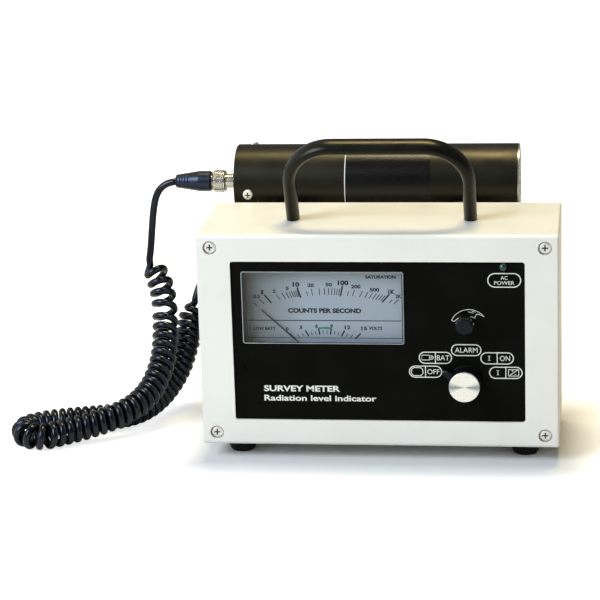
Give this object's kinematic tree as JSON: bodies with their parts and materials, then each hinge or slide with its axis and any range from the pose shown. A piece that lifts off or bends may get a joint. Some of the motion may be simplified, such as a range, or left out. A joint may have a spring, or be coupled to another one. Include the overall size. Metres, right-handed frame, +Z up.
{
  "type": "portable radiation survey meter",
  "caption": "Painted metal survey meter with a carrying handle, a dial meter, a selector and a level knob, and a tubular probe in cradles behind it on a curly cord.",
  "frame": {"origin": "on the floor, under the middle of the case, probe and cradles together", "axes": "+X to the right of the front panel, +Y from the front panel to the back, +Z up"},
  "size_m": [0.3624, 0.1702, 0.207],
  "materials": {
    "cream_paint": "gloss",
    "post_steel": "satin",
    "screw_steel": "bright zinc plate",
    "handle_black": "gloss",
    "black_rubber": "matt",
    "panel_black": "satin",
    "window_clear": "polished clear plastic",
    "meter_plastic": "matt",
    "dial_white": "matt print",
    "magnet_alloy": "ground",
    "bridge_brass": "satin",
    "needle_black": "matt black",
    "coil_copper": "enamelled wire on a light frame",
    "knob_black": "satin gloss",
    "cap_aluminium": "spun",
    "shaft_steel": "turned",
    "switch_phenolic": "matt",
    "nut_nickel": "nickel plate",
    "led_green": "dark green lens",
    "board_green": "solder mask",
    "component_black": "moulded",
    "lamination": "laminated steel",
    "cell_jacket": "gloss",
    "probe_black": "satin black anodised",
    "ring_bright": "turned",
    "detector_steel": "satin",
    "label_gloss": "pebbled gloss",
    "plug_nickel": "nickel plate",
    "boot_black": "semi-gloss",
    "cable_black": "gloss"
  },
  "bodies": {
    "case": {"front_frame": "cream_paint", "rear_frame": "cream_paint", "top_cover": "cream_paint", "bottom_cover": "cream_paint", "side_panels": "cream_paint", "corner_posts": "post_steel", "board_standoffs": "post_steel", "frame_screws": "screw_steel", "m4_screws": "screw_steel", "carry_handle": "handle_black", "rubber_feet": "black_rubber", "cradle_pads": "black_rubber", "front_panel": "panel_black", "rear_panel": "panel_black", "probe_cradles": "panel_black", "meter_window": "window_clear", "meter_housing": "meter_plastic", "battery_holder": "meter_plastic", "power_inlet": "meter_plastic", "alarm_pot": "meter_plastic", "dial_plate": "dial_white", "meter_magnet": "magnet_alloy", "meter_core": "magnet_alloy", "meter_bridges": "bridge_brass", "meter_hairspring": "bridge_brass", "panel_plug": "knob_black", "selector_switch": "switch_phenolic", "bush_nuts": "nut_nickel", "power_led": "led_green", "circuit_board": "board_green", "board_components": "component_black", "alarm_speaker": "component_black", "mains_transformer": "lamination", "battery_cells": "cell_jacket", "rear_socket": "plug_nickel", "rear_plug_body": "plug_nickel", "rear_plug_boot": "boot_black", "front_cord_tail": "cable_black", "rear_cord_tail": "cable_black", "curly_cord": "cable_black"},
    "probe": {"probe_tube": "probe_black", "probe_cap_screws": "screw_steel", "probe_end_cap": "probe_black", "probe_window_ring": "probe_black", "probe_window_guard": "ring_bright", "detector_tube": "detector_steel", "detector_mounts": "black_rubber", "probe_label": "label_gloss", "probe_socket": "plug_nickel", "probe_plug_body": "plug_nickel", "probe_plug_boot": "boot_black"},
    "probe_collar": {"probe_plug_collar": "plug_nickel"},
    "rear_collar": {"rear_plug_collar": "plug_nickel"},
    "selector": {"selector_knob": "knob_black", "selector_cap": "cap_aluminium", "selector_shaft": "shaft_steel"},
    "alarm_control": {"alarm_knob": "knob_black", "alarm_shaft": "shaft_steel"},
    "needle": {"pointer": "needle_black", "meter_coil": "coil_copper"}
  },
  "joints": [
    {"name": "probe_lift", "type": "slide", "parent": "case", "child": "probe", "axis": [0, 0, 1], "range_m": [0, 0.08]},
    {"name": "probe_collar_turn", "type": "hinge", "parent": "probe", "child": "probe_collar", "pos_m": [-0.1174, 0.052, 0.1566], "axis": [-1, 0, 0], "range_deg": [0, 90]},
    {"name": "rear_collar_turn", "type": "hinge", "parent": "case", "child": "rear_collar", "pos_m": [-0.08, 0.0295, 0.088], "axis": [0, 1, 0], "range_deg": [0, 90]},
    {"name": "selector_turn", "type": "hinge", "parent": "case", "child": "selector", "pos_m": [0.0553, -0.073, 0.0547], "axis": [0, 1, 0], "range_deg": [0, 120]},
    {"name": "alarm_turn", "type": "hinge", "parent": "case", "child": "alarm_control", "pos_m": [0.0553, -0.073, 0.0926], "axis": [0, 1, 0], "range_deg": [0, 290]},
    {"name": "needle_swing", "type": "hinge", "parent": "case", "child": "needle", "pos_m": [-0.0343, -0.048, 0.0612], "axis": [0, 1, 0], "range_deg": [0, 94.6], "stiffness_Nm_per_rad": 0.0001}
  ]
}
